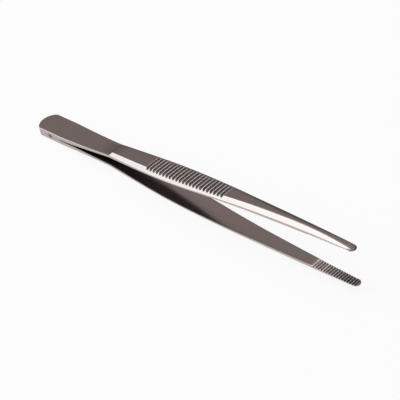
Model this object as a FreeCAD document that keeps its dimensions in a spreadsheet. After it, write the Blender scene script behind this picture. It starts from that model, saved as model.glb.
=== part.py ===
import FreeCAD, Part
import math
import os
import Sketcher

# Thumb forceps of polished stainless steel, 140 mm long: two mirror-image arms welded
# face to face at the heel, with a thin spring part, a grooved grip and toothed tips.
# Each arm is modelled along X from the heel, its inner face towards the weld plane z = 0.
# The pair then lies on its lower arm, on the heel's end and the neck, as it rests on a table.

DOC = FreeCAD.newDocument("thumb_forceps")
SHEET = DOC.addObject("Spreadsheet::Sheet", "sizes")

SIZES = [
    # heel, where the two arms are welded
    ("heel_width", 9.0),
    ("heel_length", 13.0),
    ("heel_end_crown", 1.0),
    ("heel_corner_radius", 2.2),
    ("weld_length", 13.4),
    ("blade_thickness", 1.6),
    # spring part and the slope that ends it
    ("bend_run", 4.2),
    ("opening_angle", 4.23),
    ("spring_thickness", 0.88),
    ("slope_run", 0.75),
    # inner face: the arm turns back towards its partner, from before the taper to the neck
    ("curve_lead", 4.0),
    ("jaw_angle", 1.415),
    # bevels along both outer edges, and the round end
    ("bevel_angle", 37.6),
    ("tip_margin", 0.03),
    # transverse grooves of the grip, the first one measured from the shoulder
    ("groove_count", 23),
    ("groove_lead", 18.6),
    ("groove_pitch", 1.496),
    ("groove_radius", 0.6),
    ("groove_first_depth", 0.48),
    ("groove_last_depth", 0.48),
    # transverse teeth inside the tips, the first one measured from the tip
    ("tooth_count", 16),
    ("teeth_length", 16.8),
    ("tooth_pitch", 1.0),
    ("tooth_depth", 0.3),
    ("tooth_half_width", 0.36),
]

# Sections of the grip and jaw: run from the section before, or from the heel's end,
# then width, width of the outer flat and thickness. The runs add up to 140 mm.
SECTIONS = [
    ("shoulder", 36.1, 6.9, 4.7, 1.78),
    ("flare", 15.9, 8.45, 5.65, 1.68),
    ("grip", 14.5, 9.15, 6.15, 1.62),
    ("taper", 16.5, 7.75, 5.2, 1.56),
    ("neck", 16.3, 5.86, 3.1, 1.90),
    ("jaw", 14.0, 4.64, 1.8, 2.10),
    ("nose", 15.0, 3.62, 1.35, 1.68),
    ("tip", 11.7, 3.06, 2.4, 0.62),
]


def fill_sheet():
    """Write every size as plain text with its alias."""
    rows = list(SIZES)
    for name, run, width, flat, thick in SECTIONS:
        rows += [(name + "_run", run), (name + "_width", width),
                 (name + "_flat", flat), (name + "_thickness", thick)]
    for row, (alias, value) in enumerate(rows, start=1):
        SHEET.set("A%d" % row, alias)
        SHEET.set("B%d" % row, str(value))
        SHEET.setAlias("B%d" % row, alias)
    DOC.recompute()


def origin_plane(body, role):
    """The body's own origin plane with the given role."""
    return [f for f in body.Origin.OriginFeatures if f.Role == role][0]


def value(sketch, text):
    """Number that an expression gives."""
    return float(sketch.evalExpression(text))


def new_sketch(body, role, name, along=None):
    """Sketch on an origin plane of the body, moved along its normal by an expression."""
    sketch = body.newObject("Sketcher::SketchObject", name)
    sketch.AttachmentSupport = [(origin_plane(body, role), "")]
    sketch.MapMode = "FlatFace"
    if along:
        sketch.setExpression("AttachmentOffset.Base.z", along)
    return sketch


def bind(sketch, kind, refs, text):
    """Dimension of the sketch bound to an expression."""
    index = sketch.addConstraint(Sketcher.Constraint(kind, *refs, value(sketch, text)))
    sketch.setExpression("Constraints[%d]" % index, text)


def pin(sketch, geo, pos, across, up):
    """Hold a point at the place that two expressions give; None leaves it on the axis."""
    if across is None:
        sketch.addConstraint(Sketcher.Constraint("PointOnObject", geo, pos, -2))
    else:
        bind(sketch, "DistanceX", (-1, 1, geo, pos), across)
    if up is None:
        sketch.addConstraint(Sketcher.Constraint("PointOnObject", geo, pos, -1))
    else:
        bind(sketch, "DistanceY", (-1, 1, geo, pos), up)


def vector(sketch, point):
    """Place of a point written as two expressions."""
    across, up = point
    return FreeCAD.Vector(value(sketch, across) if across else 0.0, value(sketch, up) if up else 0.0, 0)


def tangent_arc(start, direction, end):
    """Arc from start to end that leaves start along direction."""
    chord = end - start
    turn = math.atan2(direction.cross(chord).z, direction.dot(chord))
    normal = FreeCAD.Vector(-chord.y, chord.x, 0)
    return Part.Arc(start, start + chord * 0.5 - normal * 0.5 * math.tan(turn / 2), end)


def outline(sketch, corners):
    """Closed outline through pinned corners.

    Each corner gives its two places and how the edge to the next corner runs: a line,
    an arc that leaves tangent to the edge before, one that arrives tangent to the next,
    or a half circle round to a corner straight below.
    """
    places = [vector(sketch, corner[:2]) for corner in corners]
    count = len(corners)
    edges = []
    for i, (across, up, run) in enumerate(corners):
        start, end = places[i], places[(i + 1) % count]
        if run == "leave":
            shape = tangent_arc(start, start - places[i - 1], end)
        elif run == "arrive":
            shape = tangent_arc(end, end - places[(i + 2) % count], start)
        elif run == "round":
            shape = tangent_arc(start, FreeCAD.Vector(start.y - end.y, end.x - start.x, 0), end)
        else:
            shape = Part.LineSegment(start, end)
        geo = sketch.addGeometry(shape, False)
        begin = 1 if sketch.getPoint(geo, 1).distanceToPoint(start) < 1e-6 else 2
        edges.append((geo, begin, 3 - begin))
    for i, (across, up, run) in enumerate(corners):
        geo, begin, finish = edges[i]
        after, after_begin, _ = edges[(i + 1) % count]
        smooth = run == "arrive" or corners[(i + 1) % count][2] == "leave"
        pin(sketch, geo, begin, across, up)
        sketch.addConstraint(Sketcher.Constraint(
            "Tangent" if smooth else "Coincident", geo, finish, after, after_begin))
        if run == "round":
            sketch.addConstraint(Sketcher.Constraint("Vertical", geo, 3, geo, begin))


def cut_through(body, sketch, name):
    """Pocket through the whole arm, to both sides of the sketch."""
    DOC.recompute()
    before = body.Shape.Volume
    pocket = body.newObject("PartDesign::Pocket", name)
    pocket.Profile = sketch
    pocket.Type = "ThroughAll"
    pocket.SideType = "Symmetric"
    DOC.recompute()
    if not body.Shape.Volume < before - 1e-3:
        raise RuntimeError(name + " removes nothing")
    return pocket


def repeat(body, pocket, guide, count, pitch, name):
    """Copies of a pocket along the guide line of its sketch."""
    pattern = body.newObject("PartDesign::LinearPattern", name)
    pattern.Originals = [pocket]
    pattern.Direction = (guide, ["Axis0"])
    pattern.Mode = "Spacing"
    pattern.setExpression("Occurrences", count)
    pattern.setExpression("Offset", pitch)
    body.Tip = pattern
    DOC.recompute()
    return pattern


def guide_line(sketch, start, end):
    """Construction line that a pattern follows."""
    geo = sketch.addGeometry(Part.LineSegment(vector(sketch, start), vector(sketch, end)), True)
    pin(sketch, geo, 1, *start)
    pin(sketch, geo, 2, *end)


def section_place(name):
    """Place of a section along the arm: the sum of the runs up to it."""
    names = [section[0] for section in SECTIONS]
    return "(" + " + ".join("sizes.%s_run" % n for n in names[:names.index(name) + 1]) + ")"


# Height of the inner face above the weld plane along the arm: flat over the weld, bent open,
# straight through the grip, curved back and straight again through the jaw
LENGTH = section_place("tip")
SHOULDER = section_place("shoulder")
BEND_END = "(sizes.weld_length + sizes.bend_run)"
BEND_RISE = "sizes.bend_run * tan(sizes.opening_angle / 2)"
CURVE_START = "(%s - sizes.curve_lead)" % section_place("taper")
CURVE_END = section_place("neck")
CURVE_RUN = "(sizes.curve_lead + sizes.neck_run)"
CURVE_RISE = CURVE_RUN + " * tan((sizes.opening_angle + sizes.jaw_angle) / 2)"


def inner_grip(place):
    return "(%s + (%s - %s) * tan(sizes.opening_angle))" % (BEND_RISE, place, BEND_END)


def inner_curve(place):
    """Between the two straight parts the slope changes evenly."""
    along = "(%s - %s)" % (place, CURVE_START)
    bend = "(tan(sizes.opening_angle) - tan(sizes.jaw_angle)) / (2 * %s)" % CURVE_RUN
    return "(%s + %s * tan(sizes.opening_angle) - %s * %s * %s)" % (
        inner_grip(CURVE_START), along, along, along, bend)


def inner_jaw(place):
    return "(%s + %s + (%s - %s) * tan(sizes.jaw_angle))" % (
        inner_grip(CURVE_START), CURVE_RISE, place, CURVE_END)


def inner_height(name):
    """Inner height at a section, by the part of the arm that it lies in."""
    if name in ("neck", "jaw", "nose", "tip"):
        return inner_jaw(section_place(name))
    if name == "taper":
        return inner_curve(section_place(name))
    return inner_grip(section_place(name))


def outer_height(name):
    return "(%s + sizes.%s_thickness)" % (inner_height(name), name)


def build_blade(body):
    """Heel and spring part: side profile across the blade, trimmed to its outline in plan."""
    profile = new_sketch(body, "XZ_Plane", "spring_profile")
    foot = inner_grip(SHOULDER)
    outline(profile, [
        (None, None, "line"),
        ("sizes.weld_length", None, "leave"),
        (BEND_END, BEND_RISE, "line"),
        (SHOULDER, foot, "line"),
        (SHOULDER, foot + " + sizes.spring_thickness", "arrive"),
        ("sizes.weld_length", "sizes.blade_thickness", "line"),
        (None, "sizes.blade_thickness", "line"),
    ])
    blade = body.newObject("PartDesign::Pad", "blade")
    blade.Profile = profile
    blade.SideType = "Symmetric"
    blade.setExpression("Length", "sizes.heel_width + sizes.shoulder_width")

    plan = new_sketch(body, "XY_Plane", "spring_plan")
    side, waist = "sizes.heel_width / 2", "sizes.shoulder_width / 2"
    beyond = "(%s + sizes.heel_width)" % SHOULDER
    # the corner arcs touch the flatter end arc on the line through both centres
    end_radius = "(%s + sizes.heel_end_crown)" % side
    reach = "(%s - sizes.heel_corner_radius)" % end_radius
    offset = "(%s - sizes.heel_corner_radius)" % side
    along = "sqrt(%s ^ 2 - %s ^ 2)" % (reach, offset)
    scale = "%s / %s" % (end_radius, reach)
    corner = "%s - %s" % (end_radius, along)
    touch = "%s - %s * %s" % (end_radius, along, scale)
    touch_side = "%s * %s" % (offset, scale)
    outline(plan, [
        (corner, side, "leave"),
        (touch, touch_side, "leave"),
        (touch, "-" + touch_side, "leave"),
        (corner, "-" + side, "line"),
        ("sizes.heel_length", "-" + side, "line"),
        (SHOULDER, "-" + waist, "line"),
        (beyond, "-" + waist, "line"),
        (beyond, waist, "line"),
        (SHOULDER, waist, "line"),
        ("sizes.heel_length", side, "line"),
    ])
    margin = "sizes.heel_width * 2"
    outline(plan, [
        ("-" + margin, "-" + margin, "line"),
        (beyond + " * 2", "-" + margin, "line"),
        (beyond + " * 2", margin, "line"),
        ("-" + margin, margin, "line"),
    ])
    cut_through(body, plan, "spring_sides")


def build_grip(body):
    """Grip and jaw: lofts through six-sided sections, flat inside and bevelled outside.

    They meet at the neck, whose slight ridge is the lowest place under the grip.
    """
    sections = []
    for name in [section[0] for section in SECTIONS]:
        sketch = new_sketch(body, "YZ_Plane", name + "_section", section_place(name))
        inner, outer = inner_height(name), outer_height(name)
        half, flat = "sizes.%s_width / 2" % name, "sizes.%s_flat / 2" % name
        edge = "%s - (%s - %s) * tan(sizes.bevel_angle)" % (outer, half, flat)
        outline(sketch, [
            ("-" + half, inner, "line"),
            (half, inner, "line"),
            (half, edge, "line"),
            (flat, outer, "line"),
            ("-" + flat, outer, "line"),
            ("-" + half, edge, "line"),
        ])
        sections.append(sketch)
    neck = [section[0] for section in SECTIONS].index("neck")
    for name, stretch in (("grip", sections[:neck + 1]), ("jaw", sections[neck:])):
        loft = body.newObject("PartDesign::AdditiveLoft", name)
        loft.Profile = stretch[0]
        loft.Sections = stretch[1:]
        DOC.recompute()


def cut_shoulder(body):
    """Slope from the thin spring part up to the grip."""
    sketch = new_sketch(body, "XZ_Plane", "shoulder_profile")
    low = inner_grip(SHOULDER) + " + sizes.spring_thickness"
    high = low + " + 2 * (sizes.shoulder_thickness - sizes.spring_thickness)"
    back = SHOULDER + " - sizes.slope_run"
    outline(sketch, [
        (SHOULDER, low, "line"),
        (SHOULDER + " + 2 * sizes.slope_run", high, "line"),
        (back, high, "line"),
        (back, low, "line"),
    ])
    cut_through(body, sketch, "shoulder")


def round_tip(body):
    """Full round end of the jaw in plan: a half circle, just wider than the arm where it starts."""
    sketch = new_sketch(body, "XY_Plane", "tip_plan")
    # the arm tapers by this much a side for each unit of its run
    taper = "(sizes.nose_width - sizes.tip_width) / (2 * sizes.tip_run)"
    radius = "(sizes.tip_width / (2 * (1 - %s)) + sizes.tip_margin)" % taper
    back = "(%s - %s)" % (LENGTH, radius)
    beyond = "%s + %s" % (LENGTH, radius)
    outside = "sizes.nose_width"
    outline(sketch, [
        (back, outside, "line"),
        (back, radius, "round"),
        (back, "-" + radius, "line"),
        (back, "-" + outside, "line"),
        (beyond, "-" + outside, "line"),
        (beyond, outside, "line"),
    ])
    cut_through(body, sketch, "tip_round")


def cut_grooves(body):
    """Round-bottomed grooves straight across the grip, which run out on both bevels."""
    sketch = new_sketch(body, "XZ_Plane", "groove_profile")
    start, end = outer_height("flare"), outer_height("taper")
    rise = "(%s - %s) / (sizes.grip_run + sizes.taper_run)" % (end, start)
    first = "(%s + sizes.groove_lead)" % SHOULDER
    last = "(%s + (sizes.groove_count - 1) * sizes.groove_pitch)" % first

    def centre(place, depth):
        return "%s + (%s - %s) * %s + sizes.groove_radius - %s" % (
            start, place, section_place("flare"), rise, depth)

    first_centre = (first, centre(first, "sizes.groove_first_depth"))
    guide_line(sketch, first_centre, (last, centre(last, "sizes.groove_last_depth")))
    circle = Part.Circle(vector(sketch, first_centre), FreeCAD.Vector(0, 0, 1),
                         value(sketch, "sizes.groove_radius"))
    geo = sketch.addGeometry(circle, False)
    sketch.addConstraint(Sketcher.Constraint("Coincident", geo, 3, 0, 1))
    bind(sketch, "Radius", (geo,), "sizes.groove_radius")
    pocket = cut_through(body, sketch, "groove")
    repeat(body, pocket, sketch, "sizes.groove_count", "sizes.groove_pitch", "grooves")


def cut_teeth(body):
    """Sharp cross teeth on the inner face, which mesh when the tips close."""
    sketch = new_sketch(body, "XZ_Plane", "tooth_profile")
    first = "(%s - sizes.teeth_length)" % LENGTH
    last = "(%s + sizes.tooth_count * sizes.tooth_pitch)" % first
    guide_line(sketch, (first, inner_jaw(first)), (last, inner_jaw(last)))
    # the flanks run on below the face, so that the cut is open
    root = inner_jaw(first) + " + sizes.tooth_depth"
    below = inner_jaw(first) + " - sizes.tooth_depth"
    outline(sketch, [
        (first, root, "line"),
        (first + " + 2 * sizes.tooth_half_width", below, "line"),
        (first + " - 2 * sizes.tooth_half_width", below, "line"),
    ])
    pocket = cut_through(body, sketch, "tooth")
    repeat(body, pocket, sketch, "sizes.tooth_count", "sizes.tooth_pitch", "teeth")


def rest_placement(body):
    """Turn about Y that stands the pair on the lower heel and neck, its box's bottom centre at 0."""
    rise = value(SHEET, outer_height("neck") + " - sizes.blade_thickness")
    run = value(SHEET, section_place("neck"))
    turn = FreeCAD.Rotation(FreeCAD.Vector(0, 1, 0), -math.degrees(math.atan2(rise, run)))
    upper = body.Shape.copy()
    lower = upper.mirror(FreeCAD.Vector(0, 0, 0), FreeCAD.Vector(0, 0, 1))
    pair = Part.Compound([upper, lower])
    pair.Placement = FreeCAD.Placement(FreeCAD.Vector(0, 0, 0), turn)
    box = pair.optimalBoundingBox(False)
    shift = FreeCAD.Vector(-(box.XMin + box.XMax) / 2, -(box.YMin + box.YMax) / 2, -box.ZMin)
    return FreeCAD.Placement(shift, turn)


def build_arms():
    upper = DOC.addObject("PartDesign::Body", "upper_arm")
    upper.Label = "upper_arm"
    build_blade(upper)
    build_grip(upper)
    cut_shoulder(upper)
    round_tip(upper)
    cut_grooves(upper)
    cut_teeth(upper)
    upper.Placement = rest_placement(upper)

    lower = DOC.addObject("Part::Mirroring", "lower_arm")
    lower.Label = "lower_arm"
    lower.Source = upper
    lower.Base = upper.Placement.Base
    lower.Normal = upper.Placement.Rotation.multVec(FreeCAD.Vector(0, 0, 1))
    DOC.recompute()
    return [upper, lower]


def check(nodes):
    """Every feature computed, every node one valid solid."""
    for feature in DOC.Objects:
        if "Invalid" in feature.State or "Error" in feature.State:
            raise RuntimeError("%s failed: %s" % (feature.Name, feature.State))
    for node in nodes:
        shape = node.Shape
        if shape.isNull() or not shape.isValid() or len(shape.Solids) != 1:
            raise RuntimeError(node.Label + " is not one valid solid")


fill_sheet()
arms = build_arms()
check(arms)
os.makedirs("parts", exist_ok=True)
for arm in arms:
    arm.Shape.exportStep("parts/%s.step" % arm.Label)
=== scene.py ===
"""Looks of a pair of thumb forceps: two polished steel arms welded at the heel.

The forceps' own lengths are in millimetres in the arm's frame, and become metres in place().
An arm lies along X from the heel's end (0) to the tip (140), Y is across it, and Z is its
thickness, with the weld plane at Z = 0. The lower arm is the same form turned over. The studio
round the forceps is in metres.
"""

import math

import bpy
import bmesh
import numpy as np
from mathutils import Matrix, Vector


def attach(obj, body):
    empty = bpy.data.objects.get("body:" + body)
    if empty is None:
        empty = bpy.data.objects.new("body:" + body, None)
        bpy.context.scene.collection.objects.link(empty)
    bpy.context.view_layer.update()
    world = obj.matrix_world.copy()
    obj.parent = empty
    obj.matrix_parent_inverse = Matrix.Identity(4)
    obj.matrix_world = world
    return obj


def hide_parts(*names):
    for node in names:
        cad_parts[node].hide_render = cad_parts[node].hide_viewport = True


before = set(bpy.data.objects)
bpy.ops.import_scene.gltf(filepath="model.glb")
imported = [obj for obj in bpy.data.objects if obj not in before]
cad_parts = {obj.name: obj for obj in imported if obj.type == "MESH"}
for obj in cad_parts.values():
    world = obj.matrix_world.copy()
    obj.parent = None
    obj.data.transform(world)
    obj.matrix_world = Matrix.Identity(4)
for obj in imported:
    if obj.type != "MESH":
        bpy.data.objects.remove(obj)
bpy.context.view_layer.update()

# ---------------------------------------------------------------------------------------------
# Sizes of the forceps
# ---------------------------------------------------------------------------------------------

LENGTH = 140.0
HEEL_HALF = 4.5  # half of the heel's width
HEEL_SIDE_END = 13.0  # where the heel's sides begin to narrow
CROWN = 5.5  # radius of the heel's crowned end
CORNER = 2.2  # radius of the heel's two corners
CORNER_Y = HEEL_HALF - CORNER
CORNER_X = CROWN - math.sqrt((CROWN - CORNER) ** 2 - CORNER_Y ** 2)
WELD_END = 13.4
BEND_END = 17.6
OPENING = math.tan(math.radians(4.23))  # slope of the inner face at the grip
JAW_OPENING = math.tan(math.radians(1.415))  # and at the jaw
CURVE_START = 79.0
CURVE_END = 99.3
BLADE = 1.6  # thickness of the heel
SPRING = 0.88  # thickness of the blade at the shoulder
SHOULDER = 36.1
STEP_RUN = 0.75
STEP_RISE = 0.90
STEP_FOOT = 0.15  # how far past the shoulder the step's line leaves the blade
STEP_ROUND = 0.3
STEP_REACH = 1.5
BEVEL = math.tan(math.radians(37.6))
TIP_ROUND = 1.5975
LEAST_THICKNESS = 0.12

# the sections of grip and jaw, which meet at the neck
PLACE, HALF_WIDTH, HALF_FLAT, THICKNESS = range(4)
SECTIONS = np.array([
    (36.1, 3.45, 2.35, 1.78),
    (52.0, 4.32, 2.89, 1.68),
    (66.5, 4.575, 3.075, 1.62),
    (83.0, 3.875, 2.60, 1.56),
    (99.3, 2.93, 1.55, 1.90),
    (113.3, 2.32, 0.90, 2.10),
    (128.3, 1.81, 0.675, 1.68),
    (140.0, 1.53, 1.20, 0.62),
])
FLARE, TAPER, NECK = 1, 3, 4

GROOVES = 54.7 + 1.496 * np.arange(23)
GROOVED = GROOVES[0] - 0.8, GROOVES[-1] + 0.8
GROOVE_RADIUS = 0.6
GROOVE_DEPTH = 0.52
GROOVE_WALL = 8.0  # slope of the cut where it leaves the circle
TEETH = 123.2 + 1.0 * np.arange(16)
TOOTHED = TEETH[0] - 0.5, TEETH[-1] + 0.5
TOOTH_DEPTH = 0.3
TOOTH_HALF = 0.36

# how far the creases of a groove, the blade and a notch are rounded
GROOVE_EDGE = 0.035
BLADE_EDGE = 0.06
TOOTH_EDGE = 0.04

# a small dent on the near side of the heel: its place, half sizes and depth
DENT_PLACE = 7.7
DENT_LENGTH = 0.85
DENT_HEIGHT = 0.75
DENT_DEPTH = 0.10

# the arm's frame in the model: base point and tilt of the resting forceps
BASE = np.array([-70.04517632, 0.0, 1.59709004])
TILT = np.array([
    [0.99818121, 0.0, -0.06028484],
    [0.0, 1.0, 0.0],
    [0.06028484, 0.0, 0.99818121],
])
METRES = 0.001

# Tables of (place along the arm, value): radii of the flat's crown, of the bevel's crease and
# of the rolled rims
FLAT_CROWN = ((0.0, 90.0), (36.0, 90.0), (50.0, 60.0), (90.0, 40.0), (115.0, 14.0),
              (130.0, 18.0), (140.0, 22.0))
CREASE_ROUND = ((84.0, 0.05), (108.0, 0.45), (122.0, 0.40), (133.0, 0.12), (140.0, 0.06))
OUTER_ROLL = ((0.0, 0.17), (13.0, 0.17), (30.0, 0.12), (120.0, 0.12), (137.0, 0.10),
              (138.6, 0.35), (139.4, 0.5))
INNER_ROLL = ((0.0, 0.0), (8.6, 0.0), (9.4, 0.035), (18.0, 0.06), (30.0, 0.10), (140.0, 0.10))

# painted highlights, where the steel is drawn brighter for the light it catches: strengths, and how
# far a bright line reaches
# painted highlight round the outer rim near the tip
OUTER_RIM_HIGHLIGHT = ((136.0, 0.35), (138.4, 0.0875))
# painted highlight along the inner rim near the tip
INNER_RIM_HIGHLIGHT = ((134.0, 0.12), (138.0, 0.5))
# painted highlight on the lands between the jaw's notches
TOOTH_HIGHLIGHT = ((122.0, 0.9), (128.0, 0.5), (132.0, 0.6), (136.5, 0.8), (139.0, 0.7))
# painted highlights: two bright lines across the inner face at the first notches
BRIGHT_LINES = ((122.92, 0.2, 2.0), (126.7, 0.22, 1.6))  # place, reach and strength
# painted highlight: a bright line along the bevel's crease past the shoulder
CREASE_HIGHLIGHT = 0.35
CREASE_HIGHLIGHT_START = SHOULDER + 0.4
# painted highlight on the lands between the grip grooves
LAND_HIGHLIGHT = 1.25
# painted highlight: the sides drawn a little lighter all along
WALL_HIGHLIGHT = 0.05
EDGE_REACH = 0.16
GROOVE_LAND = 0.06
TOOTH_LAND = 0.05

# painted shade in the grooves and notches, before the step, between the arms, by the rims, at the
# tip and in the dent, as the depth of a groove that would be as dark
# painted shade on the flat just before the ground step
STEP_SHADE = ((30.5, 0.0), (33.0, 0.055), (35.2, 0.065), (36.3, 0.12), (36.9, 0.10),
             (38.5, 0.05), (42.0, 0.0))
# painted shade on the inner faces between the arms, strongest in the narrow gap by the weld, and
# again near the tips
INNER_SHADE = ((13.0, 0.24), (36.0, 0.22), (48.0, 0.10), (64.0, 0.0), (126.0, 0.0),
              (132.0, 0.04), (136.0, 0.11), (138.75, 0.09), (139.0, 0.19), (139.35, 0.19),
              (139.6, 0.08))
# painted shade in the notches of the jaw
NOTCH_SHADE = ((123.0, 0.5), (130.0, 0.6), (136.0, 1.0))  # as a share of the notch's depth
# painted shade: a dark line along the inner face beside the rim
LIP_SHADE = ((40.0, 0.0), (60.0, 0.12), (118.0, 0.12), (122.0, 0.0))
# painted shade low on the sides where the arms part after the weld
SEAM_SHADE = ((12.0, 0.0), (13.2, 0.22), (17.0, 0.22), (18.5, 0.0))
# painted shade that darkens the tip's end
TIP_SHADE = ((137.8, 0.0), (139.2, 0.16))
# painted shade in the dent on the heel's near side
DENT_SHADE = 0.3
LIP_REACH = 0.3
BESIDE_FLAT = 0.1  # painted shade and the painted highlights on the lands end this far down the bevel

# rows across the arm: distances in from the rim, shares of the bevel, distances from the
# crease, and shares of the flat
RIM_ROW, BEVEL_ROW, CREASE_ROW, FLAT_ROW = range(4)
RIM_BAND = 0.25
CREASE_BAND = 0.1
RIM_ROWS = (0.0, 0.02, 0.07, 0.15, RIM_BAND)
BEVEL_ROWS = np.linspace(0.1, 0.9, 8)
CREASE_ROWS = (-CREASE_BAND, -0.04, 0.0, 0.04, CREASE_BAND)
FLAT_ROWS = np.linspace(0.88, 0.12, 5)
FULL_ROOM = 1.2  # half width from which the bands have their full size
LEAST_BEVEL = 0.12
LEAST_FLAT = 0.15

# strips round the section, with shares of the walls' height from the inner face up, the painted
# shade by the seam in each, and the painted shade at the tip's share on each kind of strip
OUTER_STRIP, WALL_STRIP, INNER_STRIP = range(3)
WALL_SHARES = np.array([0.06, 0.15, 0.3, 0.45, 0.6, 0.75, 0.9])
SEAM_SHARES = np.array([1.0, 0.4, 0.0, 0.0, 0.0, 0.0, 0.0])
TIP_SHADE_SHARES = np.array([1.0, 0.4, 0.0])

# stretches of the arm with evenly spaced sections: from, to, spacing
STRETCHES = (
    (3.6, 5.4, 0.6),
    (5.6, 10.4, 0.2),
    (10.6, WELD_END, 0.5),
    (18.3, 35.6, 0.7),
    (35.6, 37.3, 0.05),
    (37.6, 54.0, 0.6),
    (53.9, 88.6, 0.068),
    (89.0, 122.6, 0.7),
    (122.7, 138.6, 0.0625),
)
ARC_SECTIONS = 40
BEND_SECTIONS = 14

# the arm's mesh: finish slots, one UV unit to 100 mm, and the merging distance in metres
POLISHED, INSIDE, TOOTH = range(3)
TOOTH_FINISH_START = TEETH[0] - 0.6
GRAIN_SCALE = 0.01
LOWER_ARM_GRAIN = 0.37
MERGE = 2e-7
AREA_POWER = 1.5


# ---------------------------------------------------------------------------------------------
# The arm's form
# ---------------------------------------------------------------------------------------------

def by_place(x, table):
    """A value that changes along the arm, straight between the pairs of a table, as one column
    with a row for each place."""
    places, values = zip(*table)
    return np.interp(x, places, values)[:, None]


def bell(distance, reach):
    """One on a line and falling off on both sides: e to the minus square of distance by reach."""
    return np.exp(-(distance / reach) ** 2)


def softer_min(a, b, reach):
    """The lower of two heights, with the crease between them rounded over the reach."""
    return 0.5 * (a + b - np.sqrt((a - b) ** 2 + reach ** 2))


def rolled_edge(away, radius):
    """How far a face has rolled over at a distance from its rim: a quarter circle."""
    within = np.minimum(away, radius)
    return radius - np.sqrt(np.maximum(radius ** 2 - (radius - within) ** 2, 0.0))


def spline(knots, values, x):
    """Natural cubic spline: a cubic between each pair of knots, with equal slope and bend where
    two meet, and no bend at either end."""
    gap = np.diff(knots)
    count = len(knots)
    matrix = np.eye(count)
    rate = np.zeros(count)
    for k in range(1, count - 1):
        matrix[k, k - 1:k + 2] = gap[k - 1], 2.0 * (gap[k - 1] + gap[k]), gap[k]
        rate[k] = 6.0 * ((values[k + 1] - values[k]) / gap[k]
                         - (values[k] - values[k - 1]) / gap[k - 1])
    bend = np.linalg.solve(matrix, rate)
    k = np.clip(np.searchsorted(knots, x) - 1, 0, count - 2)
    a, b, h = knots[k + 1] - x, x - knots[k], gap[k]
    return (bend[k] * a ** 3 + bend[k + 1] * b ** 3) / (6.0 * h) \
        + (values[k] / h - bend[k] * h / 6.0) * a \
        + (values[k + 1] / h - bend[k + 1] * h / 6.0) * b


def through_sections(column, x):
    """The grip's and the jaw's values of one column, each its own spline, meeting at the neck."""
    grip, jaw = SECTIONS[:NECK + 1], SECTIONS[NECK:]
    return np.where(x < SECTIONS[NECK, PLACE],
                    spline(grip[:, PLACE], grip[:, column], x),
                    spline(jaw[:, PLACE], jaw[:, column], x))


def inner_height(x):
    """The inner face: level to the weld's end, an arc up to the opening slope, straight to the
    curve, where the slope eases evenly to the jaw's, and straight to the tip."""
    rise = (BEND_END - WELD_END) * OPENING / 2.0
    bend = rise * ((np.clip(x, WELD_END, BEND_END) - WELD_END) / (BEND_END - WELD_END)) ** 2
    grip = OPENING * (np.clip(x, BEND_END, CURVE_START) - BEND_END)
    u = np.clip(x, CURVE_START, CURVE_END) - CURVE_START
    curve = OPENING * u - (OPENING - JAW_OPENING) * u * u / (2.0 * (CURVE_END - CURVE_START))
    return bend + grip + curve + JAW_OPENING * (np.maximum(x, CURVE_END) - CURVE_END)


def half_width(x):
    """Half of the plan width: a crowned end and round corners, straight sides that narrow to the
    shoulder, the sections' spline, and a half circle at the tip."""
    end = np.sqrt(np.maximum(CROWN ** 2 - (CROWN - x) ** 2, 0.0))
    corner = CORNER_Y + np.sqrt(np.maximum(CORNER ** 2 - (x - CORNER_X) ** 2, 0.0))
    touch = CORNER_X - CORNER * (CROWN - CORNER_X) / (CROWN - CORNER)
    heel = np.where(x < touch, end, np.where(x < CORNER_X, corner, HEEL_HALF))
    narrowing = np.clip((x - HEEL_SIDE_END) / (SHOULDER - HEEL_SIDE_END), 0.0, 1.0)
    blade = heel + (SECTIONS[0, HALF_WIDTH] - HEEL_HALF) * narrowing
    grip_and_jaw = through_sections(HALF_WIDTH, np.maximum(x, SHOULDER))
    width = np.where(x < SHOULDER, blade, grip_and_jaw)
    tip = np.sqrt(np.maximum(TIP_ROUND ** 2 - (x - LENGTH + TIP_ROUND) ** 2, 0.0))
    return np.where(x > LENGTH - TIP_ROUND, np.minimum(tip, width), width)


def rim_distance(x, y, width):
    """How far a point in plan lies inside the outline: its distance to the corner arc beside the
    heel's end, to the crowned end or the side there, to the side further on, and to the tip's
    half circle or the side at the tip."""
    side = width - np.abs(y)
    end = CROWN - np.hypot(np.minimum(x, CROWN) - CROWN, y)
    corner = CORNER - np.hypot(x - CORNER_X, np.abs(y) - CORNER_Y)
    in_corner = (x < CORNER_X) & (np.abs(y) * (CROWN - CORNER_X) > CORNER_Y * (CROWN - x))
    tip = TIP_ROUND - np.hypot(x - LENGTH + TIP_ROUND, y)
    heel = np.where(in_corner, corner, np.minimum(end, side))
    away = np.where(x < CROWN - 0.5, heel, side)
    away = np.where(x > LENGTH - TIP_ROUND, np.minimum(tip, side), away)
    return np.maximum(away, 0.0)


def blade_top(x):
    """The blade's outer line: a flat heel, then an arc that leaves it level and thins the blade
    to its spring thickness at the shoulder, and the ground step that climbs to the grip, a
    straight slope with a rounded foot."""
    end = inner_height(np.array([SHOULDER]))[0] + SPRING
    run, rise = SHOULDER - WELD_END, end - BLADE
    radius = (run ** 2 + rise ** 2) / (2.0 * rise)
    arc = BLADE + radius - np.sqrt(radius ** 2 - np.clip(x - WELD_END, 0.0, run) ** 2)
    past = x - SHOULDER - STEP_FOOT
    step = STEP_RISE / STEP_RUN * 0.5 * (past + np.sqrt(past ** 2 + STEP_ROUND ** 2))
    return arc + step * (x > SHOULDER - STEP_REACH)


def outer_height(at):
    """Height of the outer flat at one place of the grip or jaw."""
    x = np.array([float(at)])
    return float(inner_height(x)[0] + through_sections(THICKNESS, x)[0])


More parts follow.
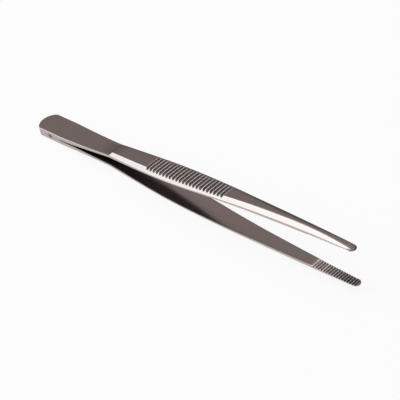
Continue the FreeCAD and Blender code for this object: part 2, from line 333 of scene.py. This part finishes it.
def groove_cut(x):
    """Height of the bottom of the nearest grip groove: a circle about the groove's centre line,
    which follows the straight line over the grip from flare to taper."""
    start, stop = SECTIONS[FLARE, PLACE], SECTIONS[TAPER, PLACE]
    low, high = outer_height(start), outer_height(stop)
    nearest = GROOVES[np.argmin(np.abs(x[:, None] - GROOVES[None, :]), axis=1)]
    line = low + (high - low) * (nearest - start) / (stop - start)
    centre = line + GROOVE_RADIUS - GROOVE_DEPTH
    across = np.abs(x - nearest)
    inside = centre - np.sqrt(np.maximum(GROOVE_RADIUS ** 2 - across ** 2, 0.0))
    return inside + GROOVE_WALL * np.maximum(across - 0.98 * GROOVE_RADIUS, 0.0)


def tooth_cut(x):
    """How deep the nearest cross notch of the jaw goes: a straight V."""
    across = np.min(np.abs(x[:, None] - TEETH[None, :]), axis=1)
    v = TOOTH_DEPTH * (1.0 - across / TOOTH_HALF)
    return np.maximum(-softer_min(-v, np.zeros_like(v), TOOTH_EDGE), 0.0)


def stations():
    """Places of the cross-sections: close together round the heel's end, the shoulder, each
    groove, each tooth and the tip, and wider apart where the form is plain."""
    turn = np.linspace(0.0, math.pi / 2.0, ARC_SECTIONS)
    heel_arc = CORNER_X * (1.0 - np.cos(turn))
    tip_arc = LENGTH - TIP_ROUND * (1.0 - np.sin(turn))
    bend = np.linspace(WELD_END, BEND_END, BEND_SECTIONS)
    even = [np.arange(*stretch) for stretch in STRETCHES]
    return np.unique(np.round(np.concatenate([heel_arc, bend, tip_arc] + even), 6))


def rows_across():
    """The outer face's rows from the near rim to the far rim, each as (side, kind, amount), with
    one row along the middle."""
    half = [(RIM_ROW, r) for r in RIM_ROWS] + [(BEVEL_ROW, b) for b in BEVEL_ROWS] \
        + [(CREASE_ROW, c) for c in CREASE_ROWS] + [(FLAT_ROW, f) for f in FLAT_ROWS]
    return np.array([(-1.0,) + row for row in half] + [(1.0, FLAT_ROW, 0.0)]
                    + [(1.0,) + row for row in half[::-1]])


def across_positions(x, rows, width):
    """Y of each row at each place. A rim row is a set distance in from the outline, a bevel row a
    share of the way from there to the flat's edge, a crease row a set distance from that edge,
    and a flat row a share of the flat. The distances shrink where the arm is narrow."""
    blade_flat = width[:, 0] * SECTIONS[0, HALF_FLAT] / SECTIONS[0, HALF_WIDTH]
    nominal = np.where(x < SHOULDER, blade_flat,
                       through_sections(HALF_FLAT, np.maximum(x, SHOULDER)))[:, None]
    room = np.minimum(1.0, width / FULL_ROOM)
    rim = RIM_BAND * room
    flat = np.minimum(nominal, width - rim - LEAST_BEVEL * room)
    flat = np.maximum(flat, LEAST_FLAT * width)
    side, kind, amount = rows.T[:, None, :]
    by_rim = width - amount * room
    by_bevel = (width - rim) * (1.0 - amount) + (flat + CREASE_BAND * room) * amount
    by_crease = flat - amount * room
    by_flat = (flat - CREASE_BAND * room) * amount
    return side * np.select([kind == RIM_ROW, kind == BEVEL_ROW, kind == CREASE_ROW],
                            [by_rim, by_bevel, by_crease], by_flat)


def outer_surface(x, y, width):
    """The outer face over a point in plan: the crowned flat's height, less the bevel's fall
    outside the flat's edge, cut by the grooves and by the blade's line with its step, and rolled
    over at the rim. Gives the height, the painted shade there, and the painted highlight."""
    solid = np.maximum(x, SHOULDER)
    flat = through_sections(HALF_FLAT, solid)[:, None]
    crown = np.maximum(flat ** 2 - y ** 2, 0.0) / (2.0 * by_place(x, FLAT_CROWN))
    top = (inner_height(solid) + through_sections(THICKNESS, solid))[:, None] + crown
    out = np.abs(y) - flat
    ground = top - BEVEL * 0.5 * (out + np.sqrt(out ** 2 + by_place(x, CREASE_ROUND) ** 2))
    grooved = ((x > GROOVED[0]) & (x < GROOVED[1]))[:, None]
    cut = softer_min(ground, groove_cut(x)[:, None], GROOVE_EDGE)
    depth = np.where(grooved, np.maximum(ground - cut, 0.0), 0.0)
    ground = np.where(grooved, cut, ground)
    ground = softer_min(ground, blade_top(x)[:, None], BLADE_EDGE)
    away = rim_distance(x[:, None], y, width)
    height = ground - rolled_edge(away, by_place(x, OUTER_ROLL))
    height = np.maximum(height, inner_height(x)[:, None] + LEAST_THICKNESS)

    on_flat = out < BESIDE_FLAT
    # painted highlights: a line along the crease, a line round the rim near the tip, and the
    # grooves' lands
    crease = CREASE_HIGHLIGHT * bell(out, EDGE_REACH) * (x > CREASE_HIGHLIGHT_START)[:, None]
    rim = by_place(x, OUTER_RIM_HIGHLIGHT) * bell(away, EDGE_REACH)
    land = np.where(grooved & on_flat, LAND_HIGHLIGHT * bell(depth, GROOVE_LAND), 0.0)
    # painted shade: the grip grooves darkened by their depth, and the flat before the ground step
    painted_shade = np.maximum(depth, by_place(x, STEP_SHADE) * on_flat)
    return height, painted_shade, np.maximum(np.maximum(crease, rim), land)


def inner_surface(x, y, width):
    """The inner face over a point in plan: the inner line, cut by the teeth, and rolled over at
    the rim by a radius that grows from nothing where the two heels are ground flush. Gives the
    height, the painted shade there, and the painted highlight."""
    notch = tooth_cut(x)[:, None]
    away = rim_distance(x[:, None], y, width)
    height = inner_height(x)[:, None] + notch + rolled_edge(away, by_place(x, INNER_ROLL))

    toothed = ((x > TOOTHED[0]) & (x < TOOTHED[1]))[:, None]
    # painted highlights on the notches' lands and two bright lines
    land = np.where(toothed, bell(notch, TOOTH_LAND), 0.0) * by_place(x, TOOTH_HIGHLIGHT)
    lines = sum(strength * bell(x - at, reach) for at, reach, strength in BRIGHT_LINES)
    # painted highlight along the inner rim near the tip
    rim = by_place(x, INNER_RIM_HIGHLIGHT) * bell(away, EDGE_REACH)
    # painted shade on the inner face: in the notches, between the arms, and along the rim
    painted_shade = notch * by_place(x, NOTCH_SHADE) + by_place(x, INNER_SHADE) \
        + by_place(x, LIP_SHADE) * bell(away, LIP_REACH)
    return height, painted_shade, np.maximum(rim, np.maximum(land, lines[:, None]))


def place(points):
    """From the arm's frame to the model's: turned by the tilt and moved to the base, in metres."""
    return (points @ TILT.T + BASE) * METRES


def arm_grid():
    """The closed section at every station: along the outer face from the near rim to the far rim,
    down the far side, back along the inner face and up the near side. A point of a side is a
    share of the way from the inner face's rim to the outer face's. The inner face has all the
    rim and crease rows of the outer one, and every second row of the rest."""
    x = stations()
    width = half_width(x)[:, None]
    rows = rows_across()
    y = across_positions(x, rows, width)
    top, top_shade, top_highlight = outer_surface(x, y, width)

    by_an_edge = (rows[:, 1] == RIM_ROW) | (rows[:, 1] == CREASE_ROW)
    under_rows = rows[by_an_edge | (np.arange(len(rows)) % 2 == 0)][::-1]
    under_y = across_positions(x, under_rows, width)
    under, under_shade, under_highlight = inner_surface(x, under_y, width)

    share = WALL_SHARES
    far_wall = under[:, :1] * (1.0 - share[::-1]) + top[:, -1:] * share[::-1]
    near_wall = under[:, -1:] * (1.0 - share) + top[:, :1] * share
    # painted shade low on the sides where the arms part
    seam = by_place(x, SEAM_SHADE) * SEAM_SHARES
    dent = bell(x[:, None] - DENT_PLACE, DENT_LENGTH) * bell(near_wall, DENT_HEIGHT)
    far_y = np.repeat(y[:, -1:], len(share), axis=1)
    near_y = y[:, :1] + DENT_DEPTH * dent
    # the sides drawn a little lighter: painted highlight
    wall_highlight = np.full_like(far_wall, WALL_HIGHLIGHT)

    strips = np.repeat([OUTER_STRIP, WALL_STRIP, INNER_STRIP, WALL_STRIP],
                       [len(rows), len(share), len(under_rows), len(share)])
    ys = np.hstack([y, far_y, under_y, near_y])
    zs = np.hstack([top, far_wall, under, near_wall])
    # painted shade by the seam and in the dent
    near_shade = np.maximum(seam, DENT_SHADE * dent)
    painted_shade = np.hstack([top_shade, seam[:, ::-1], under_shade, near_shade])
    # painted shade at the tip's end
    painted_shade = np.maximum(painted_shade, by_place(x, TIP_SHADE) * TIP_SHADE_SHARES[strips])
    painted_highlight = np.hstack([top_highlight, wall_highlight, under_highlight, wall_highlight])
    return x, ys, zs, painted_shade, painted_highlight, strips


def area_weighted_normals(mesh):
    """One normal a vertex: the sum of its faces' normals, each by its area to the power of one
    and a half, so that a wide flat stays flat up to the small round beside it."""
    faces = len(mesh.polygons)
    corners = len(mesh.loops)
    vertices = len(mesh.vertices)
    normal = np.empty(faces * 3)
    area = np.empty(faces)
    total = np.empty(faces, dtype=np.int32)
    vertex = np.empty(corners, dtype=np.int32)
    mesh.polygons.foreach_get("normal", normal)
    mesh.polygons.foreach_get("area", area)
    mesh.polygons.foreach_get("loop_total", total)
    mesh.loops.foreach_get("vertex_index", vertex)
    weighted = np.repeat(normal.reshape(-1, 3) * area[:, None] ** AREA_POWER, total, axis=0)
    summed = np.stack([np.bincount(vertex, weights=weighted[:, axis], minlength=vertices)
                       for axis in range(3)], axis=1)
    length = np.linalg.norm(summed, axis=1)
    length[length == 0.0] = 1.0
    mesh.normals_split_custom_set_from_vertices(summed / length[:, None])


def make_arm(name, turned_over):
    """One arm as a closed surface on the grid of stations and section points. Its UV map is the
    place along the arm and the way round the middle section. The attributes say how much painted
    shade lies at a point, as a depth, and how strong the painted highlight is."""
    x, ys, zs, painted_shade, painted_highlight, strips = arm_grid()
    along, around = ys.shape
    xs = np.repeat(x[:, None], around, axis=1)
    points = np.stack([xs, ys, zs], axis=2)
    if turned_over:
        points[:, :, 2] *= -1.0
    points = place(points.reshape(-1, 3))

    i, j = np.meshgrid(np.arange(along - 1), np.arange(around), indexing="ij")
    k = (j + 1) % around
    quads = np.stack([i * around + j, (i + 1) * around + j,
                      (i + 1) * around + k, i * around + k], axis=2).reshape(-1, 4)

    middle_y, middle_z = ys[along // 2], zs[along // 2]
    step = np.hypot(np.diff(middle_y, append=middle_y[0]), np.diff(middle_z, append=middle_z[0]))
    way = np.concatenate([[0.0], np.cumsum(step)]) * GRAIN_SCALE
    u = xs * GRAIN_SCALE
    corner_u = np.stack([u[i, j], u[i + 1, j], u[i + 1, k], u[i, k]], axis=2)
    corner_v = np.stack([way[j], way[j], way[j + 1], way[j + 1]], axis=2)
    if turned_over:
        quads = quads[:, ::-1]
        corner_u, corner_v = corner_u[:, :, ::-1], corner_v[:, :, ::-1] + LOWER_ARM_GRAIN
    uv = np.stack([corner_u.reshape(-1), corner_v.reshape(-1)], axis=1)

    mesh = bpy.data.meshes.new(name)
    mesh.from_pydata(points.tolist(), [], quads.tolist())
    mesh.uv_layers.new(name="grain").data.foreach_set("uv", uv.reshape(-1))
    for label, values in (("shade_mask", painted_shade), ("painted_highlight", painted_highlight)):
        layer = mesh.attributes.new(label, "FLOAT", "POINT")
        layer.data.foreach_set("value", values.reshape(-1).astype(np.float32))
    inner_finish = np.where(x[i] > TOOTH_FINISH_START, TOOTH, INSIDE)
    finish = np.where(strips[j] == INNER_STRIP, inner_finish, POLISHED)
    mesh.polygons.foreach_set("material_index", finish.reshape(-1).astype(np.int32))

    work = bmesh.new()
    work.from_mesh(mesh)
    bmesh.ops.remove_doubles(work, verts=work.verts, dist=MERGE)
    work.to_mesh(mesh)
    work.free()
    mesh.polygons.foreach_set("use_smooth", np.ones(len(mesh.polygons), dtype=bool))
    mesh.update()
    area_weighted_normals(mesh)
    return put_in_scene(bpy.data.objects.new(name, mesh))


def put_in_scene(thing):
    """Links an object to the scene and gives it back."""
    bpy.context.scene.collection.objects.link(thing)
    return thing


# ---------------------------------------------------------------------------------------------
# Finishes
# ---------------------------------------------------------------------------------------------

# colours of the steel, of its painted highlights and of its painted shade
LIGHT_STEEL = (0.455, 0.402, 0.392, 1.0)
MIDDLE_STEEL = (0.43, 0.38, 0.37, 1.0)
SATIN_STEEL = (0.41, 0.36, 0.35, 1.0)
DARK_STEEL = (0.37, 0.32, 0.31, 1.0)
# colour of the painted highlights
HIGHLIGHT_STEEL = (0.92, 0.86, 0.84, 1.0)
SHADE_COLOUR = (0.062, 0.051, 0.049, 1.0)
WHITE = (1.0, 1.0, 1.0, 1.0)

LINES_ALONG = 6.0  # scales of noise on the grain map: polish lines, and clouds in the polish
LINES_ACROSS = 900.0
CLOUDS = 22.0
HIGHLIGHT_PATCHES = 900.0  # scales of noise on the object's coordinates, which are in metres
SHADE_MOTTLE = 2400.0
FULL_SHADE = 4.5  # the painted shade covers the steel where its depth times this reaches one
SHADE_ROUGHNESS = 0.3
HIGHLIGHT_ROUGHNESS = 0.42
LINE_HEIGHT = 0.00002


def new_group(name, inputs, outputs):
    """An empty shader node group with named float or colour sockets."""
    group = bpy.data.node_groups.new(name, "ShaderNodeTree")
    for label, kind, value in inputs:
        socket = group.interface.new_socket(name=label, in_out="INPUT", socket_type=kind)
        socket.default_value = value
    for label, kind in outputs:
        group.interface.new_socket(name=label, in_out="OUTPUT", socket_type=kind)
    start = group.nodes.new("NodeGroupInput")
    end = group.nodes.new("NodeGroupOutput")
    return group, start, end


def feed(tree, node, slot, value):
    """Gives a node's input a socket to follow, or a plain number or colour."""
    if isinstance(value, (int, float, tuple)):
        node.inputs[slot].default_value = value
    else:
        tree.links.new(value, node.inputs[slot])


def calculate(tree, operation, *values, clamp=False):
    """A Math node whose inputs are sockets or plain numbers."""
    node = tree.nodes.new("ShaderNodeMath")
    node.operation = operation
    node.use_clamp = clamp
    for slot, value in enumerate(values):
        feed(tree, node, slot, value)
    return node.outputs[0]


def blend_colours(tree, share, first, second):
    """A Mix node on colours; each input is a socket or a plain colour."""
    node = tree.nodes.new("ShaderNodeMix")
    node.data_type = "RGBA"
    for slot, value in ((0, share), (6, first), (7, second)):
        feed(tree, node, slot, value)
    return node.outputs[2]


def noise(tree, vector, scale, detail, roughness):
    """A Noise Texture's value on a coordinate."""
    node = tree.nodes.new("ShaderNodeTexNoise")
    node.inputs["Scale"].default_value = scale
    node.inputs["Detail"].default_value = detail
    node.inputs["Roughness"].default_value = roughness
    tree.links.new(vector, node.inputs["Vector"])
    return node.outputs["Fac"]


def attribute(tree, name):
    """A mesh attribute's value."""
    node = tree.nodes.new("ShaderNodeAttribute")
    node.attribute_name = name
    return node.outputs["Fac"]


def polish_lines_group():
    """Fine lines that a belt leaves in steel: noise on the grain map, drawn out along the arm.
    Gives the lines' value, and slow cloudy changes of the polish."""
    group, start, end = new_group(
        "polish_lines",
        [("Along", "NodeSocketFloat", LINES_ALONG), ("Across", "NodeSocketFloat", LINES_ACROSS)],
        [("Lines", "NodeSocketFloat"), ("Clouds", "NodeSocketFloat")])
    grain = group.nodes.new("ShaderNodeUVMap")
    grain.uv_map = "grain"
    split = group.nodes.new("ShaderNodeSeparateXYZ")
    group.links.new(grain.outputs[0], split.inputs[0])
    join = group.nodes.new("ShaderNodeCombineXYZ")
    for axis, label in enumerate(("Along", "Across")):
        drawn_out = calculate(group, "MULTIPLY", split.outputs[axis], start.outputs[label])
        group.links.new(drawn_out, join.inputs[axis])
    lines = noise(group, join.outputs[0], 1.0, 4.0, 0.65)
    clouds = noise(group, grain.outputs[0], CLOUDS, 3.0, 0.5)
    group.links.new(lines, end.inputs["Lines"])
    group.links.new(clouds, end.inputs["Clouds"])
    return group


def painted_light_group():
    """Painted light: painted highlights that brighten edges and lines by their attribute, broken up
    by patches of noise, and painted shade by the depth of its mask, made uneven by noise."""
    group, start, end = new_group(
        "painted_light",
        [("Steel", "NodeSocketColor", MIDDLE_STEEL),
         ("Highlight", "NodeSocketColor", HIGHLIGHT_STEEL),
         ("Shade", "NodeSocketColor", SHADE_COLOUR),
         ("Highlight Amount", "NodeSocketFloat", 1.0),
         ("Shade Amount", "NodeSocketFloat", 1.0)],
        [("Colour", "NodeSocketColor"), ("Painted Highlight", "NodeSocketFloat"), ("Painted Shade", "NodeSocketFloat")])
    where = group.nodes.new("ShaderNodeTexCoord")
    patches = noise(group, where.outputs["Object"], HIGHLIGHT_PATCHES, 3.0, 0.6)
    patches = calculate(group, "ADD", patches, 0.35)
    broken = calculate(group, "MULTIPLY", attribute(group, "painted_highlight"), patches, clamp=True)
    edge = calculate(group, "MULTIPLY", broken, start.outputs["Highlight Amount"], clamp=True)
    mottle = noise(group, where.outputs["Object"], SHADE_MOTTLE, 3.0, 0.6)
    mottle = calculate(group, "MULTIPLY_ADD", mottle, 0.5, 0.65)
    # painted shade: the mask darkens the steel towards the shade colour
    deep = calculate(group, "MULTIPLY", attribute(group, "shade_mask"), FULL_SHADE, clamp=True)
    painted_shade = calculate(group, "MULTIPLY", deep, mottle)
    painted_shade = calculate(group, "MULTIPLY", painted_shade, start.outputs["Shade Amount"], clamp=True)
    bright = blend_colours(group, edge, start.outputs["Steel"], start.outputs["Highlight"])
    final = blend_colours(group, painted_shade, bright, start.outputs["Shade"])
    group.links.new(final, end.inputs["Colour"])
    group.links.new(edge, end.inputs["Painted Highlight"])
    group.links.new(painted_shade, end.inputs["Painted Shade"])
    return group


def steel(name, lines, painted_light, light, dark, roughness, spread, bump, highlight_share, painted_shade):
    """Stainless steel of one finish: the polish lines and clouds vary its colour between a light
    and a dark tone, its roughness by a spread, and its surface by a small bump. The painted shade
    and the painted highlights make it rougher."""
    material = bpy.data.materials.new(name)
    material.use_nodes = True
    tree = material.node_tree
    shader = tree.nodes["Principled BSDF"]
    grain = tree.nodes.new("ShaderNodeGroup")
    grain.node_tree = lines
    use = tree.nodes.new("ShaderNodeGroup")
    use.node_tree = painted_light
    use.inputs["Highlight Amount"].default_value = highlight_share
    use.inputs["Shade Amount"].default_value = painted_shade

    half_lines = calculate(tree, "MULTIPLY", grain.outputs["Lines"], 0.5)
    half_clouds = calculate(tree, "MULTIPLY", grain.outputs["Clouds"], 0.5)
    shade = calculate(tree, "ADD", half_lines, half_clouds, clamp=True)
    tree.links.new(blend_colours(tree, shade, dark, light), use.inputs["Steel"])
    tree.links.new(use.outputs["Colour"], shader.inputs["Base Color"])

    rough = calculate(tree, "MULTIPLY_ADD", shade, spread, roughness - 0.5 * spread)
    rough_in_shade = calculate(tree, "MULTIPLY", use.outputs["Painted Shade"], SHADE_ROUGHNESS)
    painted_highlight = calculate(tree, "MULTIPLY", use.outputs["Painted Highlight"], HIGHLIGHT_ROUGHNESS)
    rough = calculate(tree, "ADD", rough, rough_in_shade)
    rough = calculate(tree, "ADD", rough, painted_highlight, clamp=True)
    tree.links.new(rough, shader.inputs["Roughness"])
    shader.inputs["Metallic"].default_value = 1.0

    relief = tree.nodes.new("ShaderNodeBump")
    relief.inputs["Strength"].default_value = bump
    relief.inputs["Distance"].default_value = LINE_HEIGHT
    tree.links.new(grain.outputs["Lines"], relief.inputs["Height"])
    tree.links.new(relief.outputs["Normal"], shader.inputs["Normal"])
    return material


# ---------------------------------------------------------------------------------------------
# The studio
# ---------------------------------------------------------------------------------------------

FLOOR_HALF = 15.0
FLOOR_CORNERS = ((-FLOOR_HALF, -FLOOR_HALF), (FLOOR_HALF, -FLOOR_HALF),
                 (FLOOR_HALF, FLOOR_HALF), (-FLOOR_HALF, FLOOR_HALF))
FLOOR_GREY = 0.86
FLOOR_LIFT = 0.88  # share of plain white at the forceps; it grows from there with distance
LIFT_GROWTH = 0.16
LIFT_START = 0.05

# the card's edge on the heel's side runs back at 45 degrees, so that the heel's end stays light
CARD_CORNERS = ((-0.06, -0.001), (0.12, -0.001), (0.12, 2.5), (-2.56, 2.5))
CARD_HEIGHT = 0.0002
CARD_GREY = 0.12

# the room's brightness by the height of the view direction, from straight down (0) to straight
# up (1), in front of the forceps and behind them
FRONT_WALL = ((0.0, 0.95), (0.50, 0.92), (0.60, 0.76), (0.765, 0.72), (0.85, 1.0), (1.0, 0.75))
REAR_WALL = ((0.0, 0.10), (0.55, 0.10), (0.66, 0.21), (0.72, 0.31), (0.84, 0.33), (0.91, 0.5),
             (1.0, 0.7))
FRONT_TINT = (1.0, 1.0, 1.0)
REAR_TINT = (1.10, 0.97, 0.93)
DIM_CORNER = (0.13, 0.125, 0.12, 1.0)
DIM_CORNER_SHARE = 0.9

# fitted to the photograph's edges: the camera's own axes and its place
CAMERA_RIGHT = (0.7280243, 0.6771787, -0.10681589)
CAMERA_UP = (-0.37917212, 0.52755456, 0.76020701)
CAMERA_BACK = (0.5711472, -0.51294756, 0.64083982)
CAMERA_PLACE = (0.33328716, -0.29892151, 0.37930566)


def matt_material(name, grey, roughness):
    """A plain matt material of one grey."""
    material = bpy.data.materials.new(name)
    material.use_nodes = True
    shader = material.node_tree.nodes["Principled BSDF"]
    shader.inputs["Base Color"].default_value = (grey, grey, grey, 1.0)
    shader.inputs["Roughness"].default_value = roughness
    shader.inputs["Specular IOR Level"].default_value = 0.0
    return material


def flat_sheet(name, corners, height, material):
    """One level face with four corners in plan."""
    mesh = bpy.data.meshes.new(name)
    mesh.from_pydata([(x, y, height) for x, y in corners], [], [(0, 1, 2, 3)])
    mesh.materials.append(material)
    return put_in_scene(bpy.data.objects.new(name, mesh))


def pale_floor():
    """A wide pale table top. The camera and reflections see a mix of its own lit colour and plain
    white, which grows to all white far off, so the contact shadow stays."""
    material = matt_material("pale_table", FLOOR_GREY, 0.9)
    tree = material.node_tree
    path = tree.nodes.new("ShaderNodeLightPath")
    mirrored = calculate(tree, "MAXIMUM", path.outputs["Is Glossy Ray"],
                         path.outputs["Is Transmission Ray"])
    seen = calculate(tree, "MAXIMUM", path.outputs["Is Camera Ray"], mirrored)
    where = tree.nodes.new("ShaderNodeTexCoord")
    away = tree.nodes.new("ShaderNodeVectorMath")
    away.operation = "LENGTH"
    tree.links.new(where.outputs["Object"], away.inputs[0])
    far_off = calculate(tree, "MULTIPLY_ADD", away.outputs["Value"], LIFT_GROWTH, -LIFT_START,
                        clamp=True)
    lift = calculate(tree, "MINIMUM", calculate(tree, "ADD", far_off, FLOOR_LIFT), 1.0)
    glow = tree.nodes.new("ShaderNodeEmission")
    glow.inputs["Color"].default_value = WHITE
    glow.inputs["Strength"].default_value = 1.0
    mix = tree.nodes.new("ShaderNodeMixShader")
    tree.links.new(calculate(tree, "MULTIPLY", seen, lift), mix.inputs[0])
    tree.links.new(tree.nodes["Principled BSDF"].outputs[0], mix.inputs[1])
    tree.links.new(glow.outputs[0], mix.inputs[2])
    tree.links.new(mix.outputs[0], tree.nodes["Material Output"].inputs["Surface"])
    floor = flat_sheet("table_top", FLOOR_CORNERS, 0.0, material)


def black_card():
    """A black card that lies on the table behind the forceps, out of the camera's sight. It only
    shows in reflections, and draws a dark line along the far bevels and in the gap."""
    velvet = matt_material("black_velvet", CARD_GREY, 1.0)
    card = flat_sheet("black_card", CARD_CORNERS, CARD_HEIGHT, velvet)
    card.visible_camera = False
    card.visible_shadow = False
    card.visible_diffuse = False


def height_ramp(tree, height, stops, tint):
    """A tinted grey that follows the height of the view direction, eased between its stops, the
    first at 0 and the last at 1."""
    ramp = tree.nodes.new("ShaderNodeValToRGB")
    ramp.color_ramp.interpolation = "EASE"
    marks = ramp.color_ramp.elements
    for position, _ in stops[1:-1]:
        marks.new(position)
    for mark, (_, value) in zip(marks, stops):
        mark.color = (value * tint[0], value * tint[1], value * tint[2], 1.0)
    tree.links.new(height, ramp.inputs[0])
    return ramp.outputs[0]


def room_light():
    """The room round the table: light in front of the forceps, dark behind them and brighter
    overhead there, and dim past their tips, so that polished steel has something to show. The
    camera itself sees white."""
    world = bpy.data.worlds.new("room")
    bpy.context.scene.world = world
    world.use_nodes = True
    tree = world.node_tree
    back = tree.nodes["Background"]
    where = tree.nodes.new("ShaderNodeTexCoord")
    split = tree.nodes.new("ShaderNodeSeparateXYZ")
    tree.links.new(where.outputs["Generated"], split.inputs[0])
    x, y, z = split.outputs
    height = calculate(tree, "MULTIPLY_ADD", z, 0.5, 0.5)
    front = height_ramp(tree, height, FRONT_WALL, FRONT_TINT)
    rear = height_ramp(tree, height, REAR_WALL, REAR_TINT)
    behind = calculate(tree, "MULTIPLY_ADD", y, 3.0, 0.1, clamp=True)
    walls = blend_colours(tree, behind, front, rear)
    past_tips = calculate(tree, "MULTIPLY_ADD", x, 2.6, -0.75, clamp=True)
    past_tips = calculate(tree, "MULTIPLY", past_tips, DIM_CORNER_SHARE)
    walls = blend_colours(tree, past_tips, walls, DIM_CORNER)
    path = tree.nodes.new("ShaderNodeLightPath")
    shown = blend_colours(tree, path.outputs["Is Camera Ray"], walls, WHITE)
    tree.links.new(shown, back.inputs["Color"])
    back.inputs["Strength"].default_value = 1.0


def softbox(name, toward, distance, width, height, power, tint=(1.0, 1.0, 1.0)):
    """A soft area lamp that stands in a direction from the object and faces it."""
    light = bpy.data.lights.new(name, "AREA")
    light.shape = "RECTANGLE"
    light.size, light.size_y = width, height
    light.energy = power
    light.color = tint
    lamp = put_in_scene(bpy.data.objects.new(name, light))
    direction = np.array(toward) / np.linalg.norm(toward)
    lamp.location = tuple(direction * distance)
    lamp.rotation_euler = Vector(tuple(direction)).to_track_quat("Z", "Y").to_euler()


def product_camera():
    """The photograph's viewpoint: above and in front of the tips' side, rolled eight degrees."""
    camera = bpy.data.cameras.new("product_camera")
    camera.sensor_width = 36.0
    camera.sensor_fit = "HORIZONTAL"
    camera.lens = 162.319
    camera.shift_x = 0.02199
    camera.shift_y = -0.02485
    camera.clip_start = 0.01
    camera.clip_end = 50.0
    stand = put_in_scene(bpy.data.objects.new("product_camera", camera))
    matrix = np.eye(4)
    matrix[:3] = np.stack([CAMERA_RIGHT, CAMERA_UP, CAMERA_BACK, CAMERA_PLACE], axis=1)
    stand.matrix_world = Matrix(matrix.tolist())
    bpy.context.scene.camera = stand


# ---------------------------------------------------------------------------------------------
# Putting it together
# ---------------------------------------------------------------------------------------------

lines = polish_lines_group()
painted_light = painted_light_group()
finishes = (
    steel("polished_steel", lines, painted_light, LIGHT_STEEL, MIDDLE_STEEL,
          roughness=0.14, spread=0.05, bump=0.05, highlight_share=1.0, painted_shade=0.89),
    steel("satin_inner_steel", lines, painted_light, LIGHT_STEEL, SATIN_STEEL,
          roughness=0.17, spread=0.05, bump=0.03, highlight_share=1.0, painted_shade=1.0),
    steel("cut_tooth_steel", lines, painted_light, MIDDLE_STEEL, DARK_STEEL,
          roughness=0.26, spread=0.10, bump=0.15, highlight_share=1.0, painted_shade=1.1),
)

for name, node, turned_over in (("upper_arm_steel", "upper_arm", False),
                                ("lower_arm_steel", "lower_arm", True)):
    arm = make_arm(name, turned_over)
    for finish in finishes:
        arm.data.materials.append(finish)
    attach(arm, "root")
    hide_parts(node)

pale_floor()
room_light()
black_card()
softbox("front_softbox", toward=(-0.61, -0.47, 0.64), distance=0.9, width=0.75, height=0.62,
        power=2.05, tint=(0.91, 1.0, 0.99))
softbox("overhead_panel", toward=(0.0, 0.1, 1.0), distance=1.3, width=1.4, height=1.4,
        power=4.6)
product_camera()

bpy.context.scene.view_settings.view_transform = "Standard"
